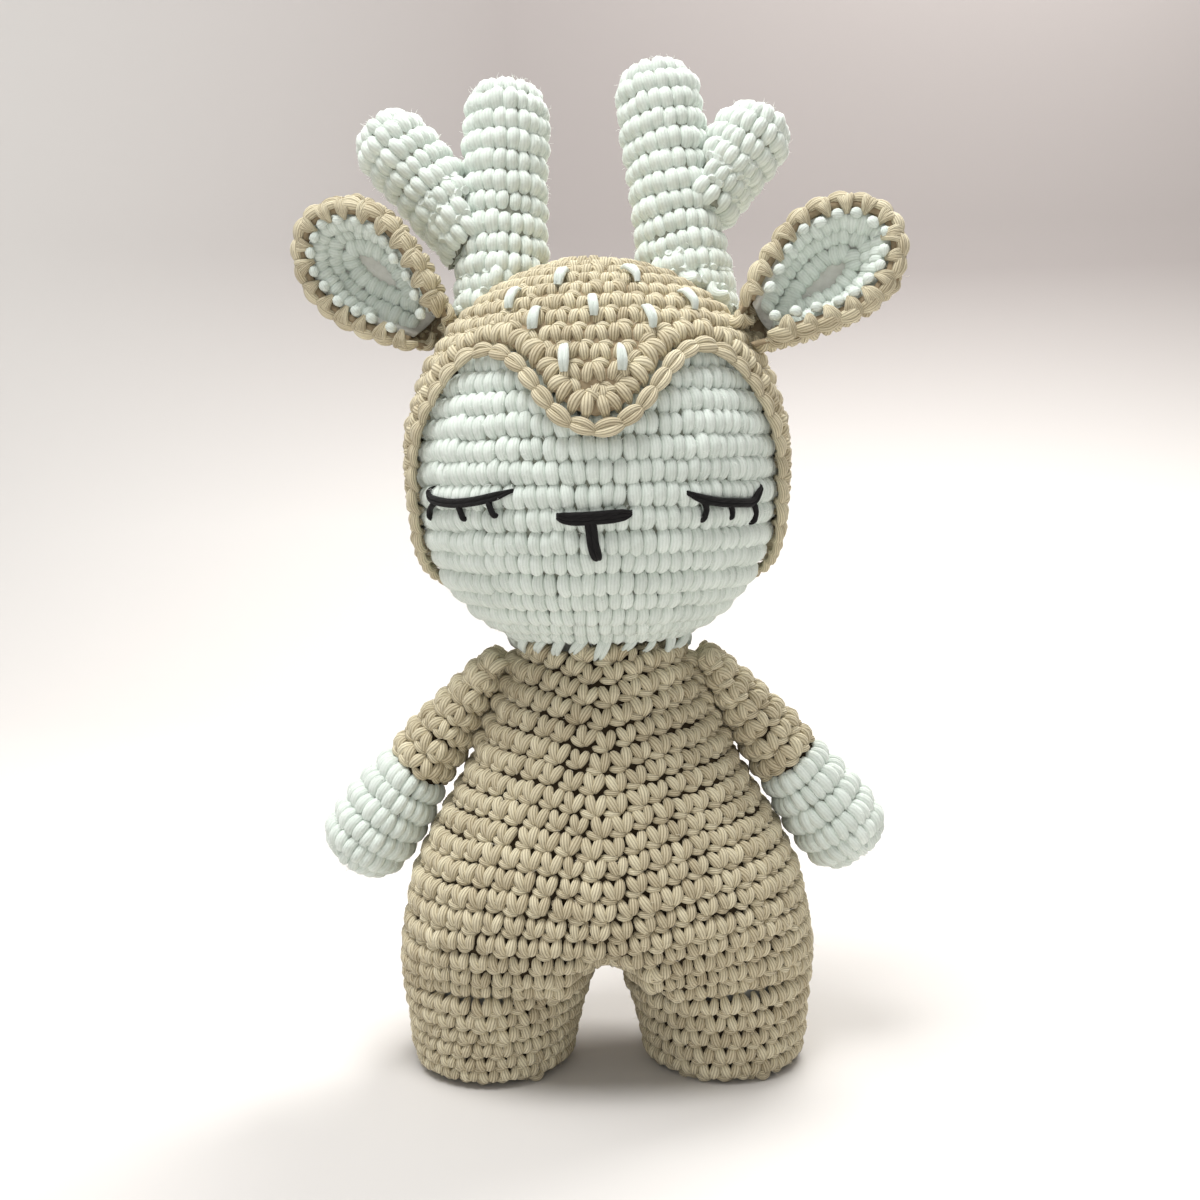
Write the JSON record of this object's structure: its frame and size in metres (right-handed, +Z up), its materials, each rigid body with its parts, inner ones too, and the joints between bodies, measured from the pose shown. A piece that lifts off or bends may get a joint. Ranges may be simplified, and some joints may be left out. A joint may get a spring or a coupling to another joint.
{
  "type": "amigurumi deer doll",
  "caption": "Stuffed crochet deer doll that stands on its own legs: beige body and hood, white face, hands and antlers, sewn arms and cupped ears that flop.",
  "frame": {"origin": "on the ground, midway between the soles, below the middle of the doll", "axes": "+Z runs up from the soles to the antlers, -Y is the way the face looks, +X is the doll's left"},
  "size_m": [0.1042, 0.0679, 0.1797],
  "materials": {
    "beige_cotton": "matt plied cotton yarn in single crochet",
    "white_cotton": "matt, slightly fuzzy white yarn in single crochet",
    "black_thread": "matt black embroidery thread",
    "filling": "loose polyester fibre filling"
  },
  "bodies": {
    "body": {"torso": "beige_cotton", "torso_stuffing": "filling", "left_leg": "beige_cotton", "left_leg_stuffing": "filling", "left_shoulder_seam": "beige_cotton", "right_leg": "beige_cotton", "right_leg_stuffing": "filling", "right_shoulder_seam": "beige_cotton"},
    "neck_filling": {"neck_stuffing": "filling"},
    "head_and_antlers": {"head": "white_cotton", "head_stuffing": "filling", "neck_seam": "white_cotton", "hood": "beige_cotton", "hood_edging": "beige_cotton", "left_eye": "black_thread", "right_eye": "black_thread", "nose": "black_thread", "spot_1": "white_cotton", "spot_2": "white_cotton", "spot_3": "white_cotton", "spot_4": "white_cotton", "spot_5": "white_cotton", "spot_6": "white_cotton", "spot_7": "white_cotton", "spot_8": "white_cotton", "spot_9": "white_cotton", "left_antler_beam": "white_cotton", "left_antler_beam_stuffing": "filling", "left_antler_tine": "white_cotton", "left_antler_tine_stuffing": "filling", "right_antler_beam": "white_cotton", "right_antler_beam_stuffing": "filling", "right_antler_tine": "white_cotton", "right_antler_tine_stuffing": "filling"},
    "left_ear": {"left_ear_back": "beige_cotton", "left_ear_lining": "white_cotton", "left_ear_edging": "beige_cotton"},
    "right_ear": {"right_ear_back": "beige_cotton", "right_ear_lining": "white_cotton", "right_ear_edging": "beige_cotton"},
    "left_arm_and_hand": {"left_arm": "beige_cotton", "left_hand": "white_cotton", "left_arm_stuffing": "filling"},
    "right_arm_and_hand": {"right_arm": "beige_cotton", "right_hand": "white_cotton", "right_arm_stuffing": "filling"}
  },
  "joints": [
    {"name": "head_turn", "type": "hinge", "parent": "body", "child": "neck_filling", "pos_m": [0, 0, 0.0691], "axis": [0, 0, 1], "range_deg": [-20, 20], "stiffness_Nm_per_rad": 0.04},
    {"name": "head_nod", "type": "hinge", "parent": "neck_filling", "child": "head_and_antlers", "pos_m": [0, 0, 0.0691], "axis": [1, 0, 0], "range_deg": [-10, 10], "stiffness_Nm_per_rad": 0.06},
    {"name": "left_ear_flop", "type": "hinge", "parent": "head_and_antlers", "child": "left_ear", "pos_m": [0.02575, -0.0104, 0.12893], "axis": [0, -1, 0], "range_deg": [-20, 8], "stiffness_Nm_per_rad": 0.003},
    {"name": "right_ear_flop", "type": "hinge", "parent": "head_and_antlers", "child": "right_ear", "pos_m": [-0.02619, -0.00046, 0.13105], "axis": [0, 1, 0], "range_deg": [-20, 8], "stiffness_Nm_per_rad": 0.003},
    {"name": "left_arm_lift", "type": "hinge", "parent": "body", "child": "left_arm_and_hand", "pos_m": [0.01996, 0, 0.07208], "axis": [0, -1, 0], "range_deg": [0, 75], "stiffness_Nm_per_rad": 0.002},
    {"name": "right_arm_lift", "type": "hinge", "parent": "body", "child": "right_arm_and_hand", "pos_m": [-0.01996, 0, 0.07208], "axis": [0, 1, 0], "range_deg": [0, 75], "stiffness_Nm_per_rad": 0.002}
  ]
}
